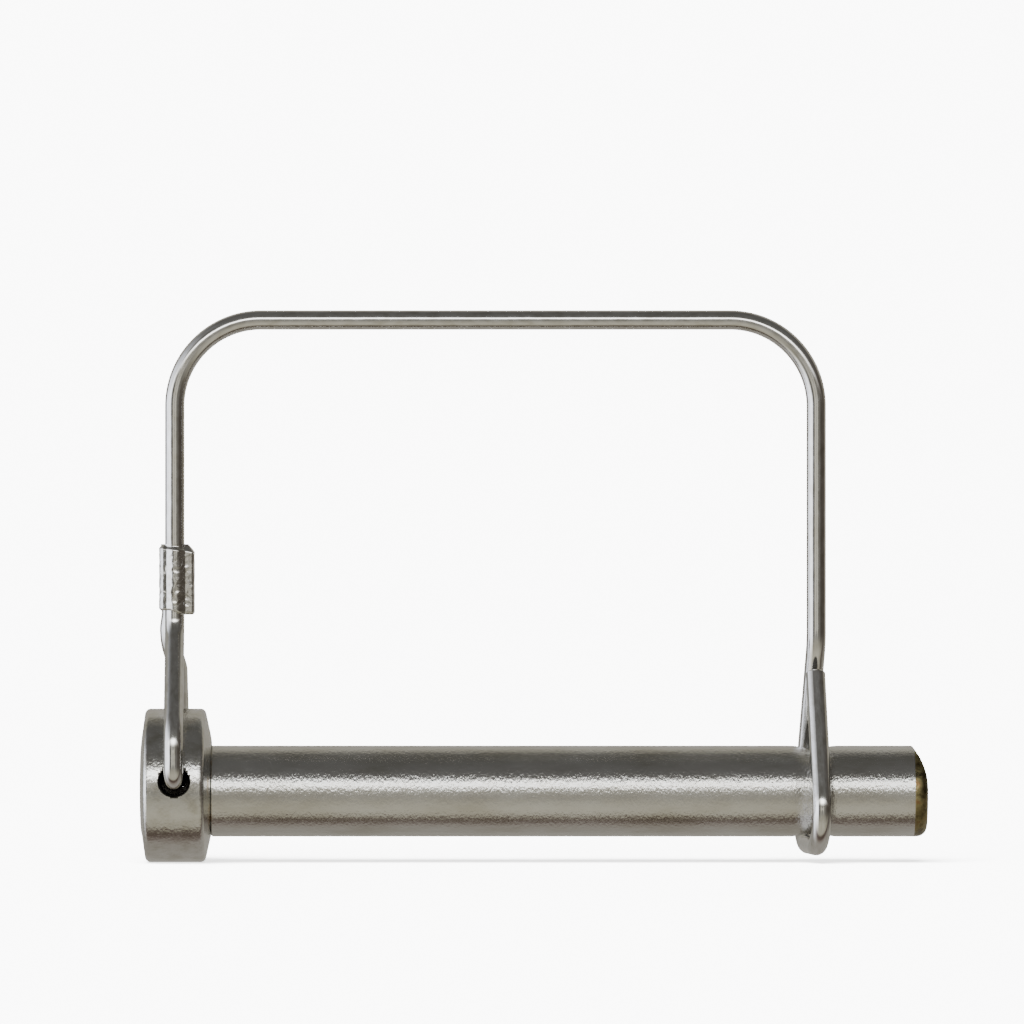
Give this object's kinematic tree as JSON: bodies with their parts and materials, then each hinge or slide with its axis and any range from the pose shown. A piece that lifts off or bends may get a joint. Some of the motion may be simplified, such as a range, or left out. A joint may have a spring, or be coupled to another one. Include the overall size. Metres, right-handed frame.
{
  "type": "hitch pin lock",
  "caption": "Round hitch pin with a cross-drilled end collar and a square spring-wire bail that hooks round the shank near its tip to lock it in place.",
  "frame": {"origin": "on the shank's axis, at the collar's shoulder", "axes": "+X along the shank from the collar to the tip, +Z towards the bail's top bar, and Y along the bail's swing axis"},
  "size_m": [0.1371, 0.0344, 0.0963],
  "materials": {
    "zinc_plated_bar": "satin bright zinc plate over turned steel bar",
    "zinc_plated_collar": "bright zinc plate over a turned collar",
    "plated_spring_wire": "bright plated drawn wire, nearly mirror",
    "crimped_sleeve": "bright plated sleeve, dented by the crimping tool"
  },
  "bodies": {
    "pin": {"shank": "zinc_plated_bar", "head_collar": "zinc_plated_collar"},
    "bail": {"bail_wire": "plated_spring_wire", "ferrule": "crimped_sleeve"},
    "latch": {"latch_wire": "plated_spring_wire"}
  },
  "joints": [
    {"name": "bail_swing", "type": "hinge", "parent": "pin", "child": "bail", "pos_m": [-0.00615, 0, 0.0021], "axis": [0, -1, 0], "range_deg": [0, 235]},
    {"name": "latch_spring", "type": "hinge", "parent": "bail", "child": "latch", "pos_m": [0.1072, 0, 0.06615], "axis": [0, -1, 0], "range_deg": [0, 21], "stiffness_Nm_per_rad": 5, "deforming": ["latch_wire"]}
  ]
}
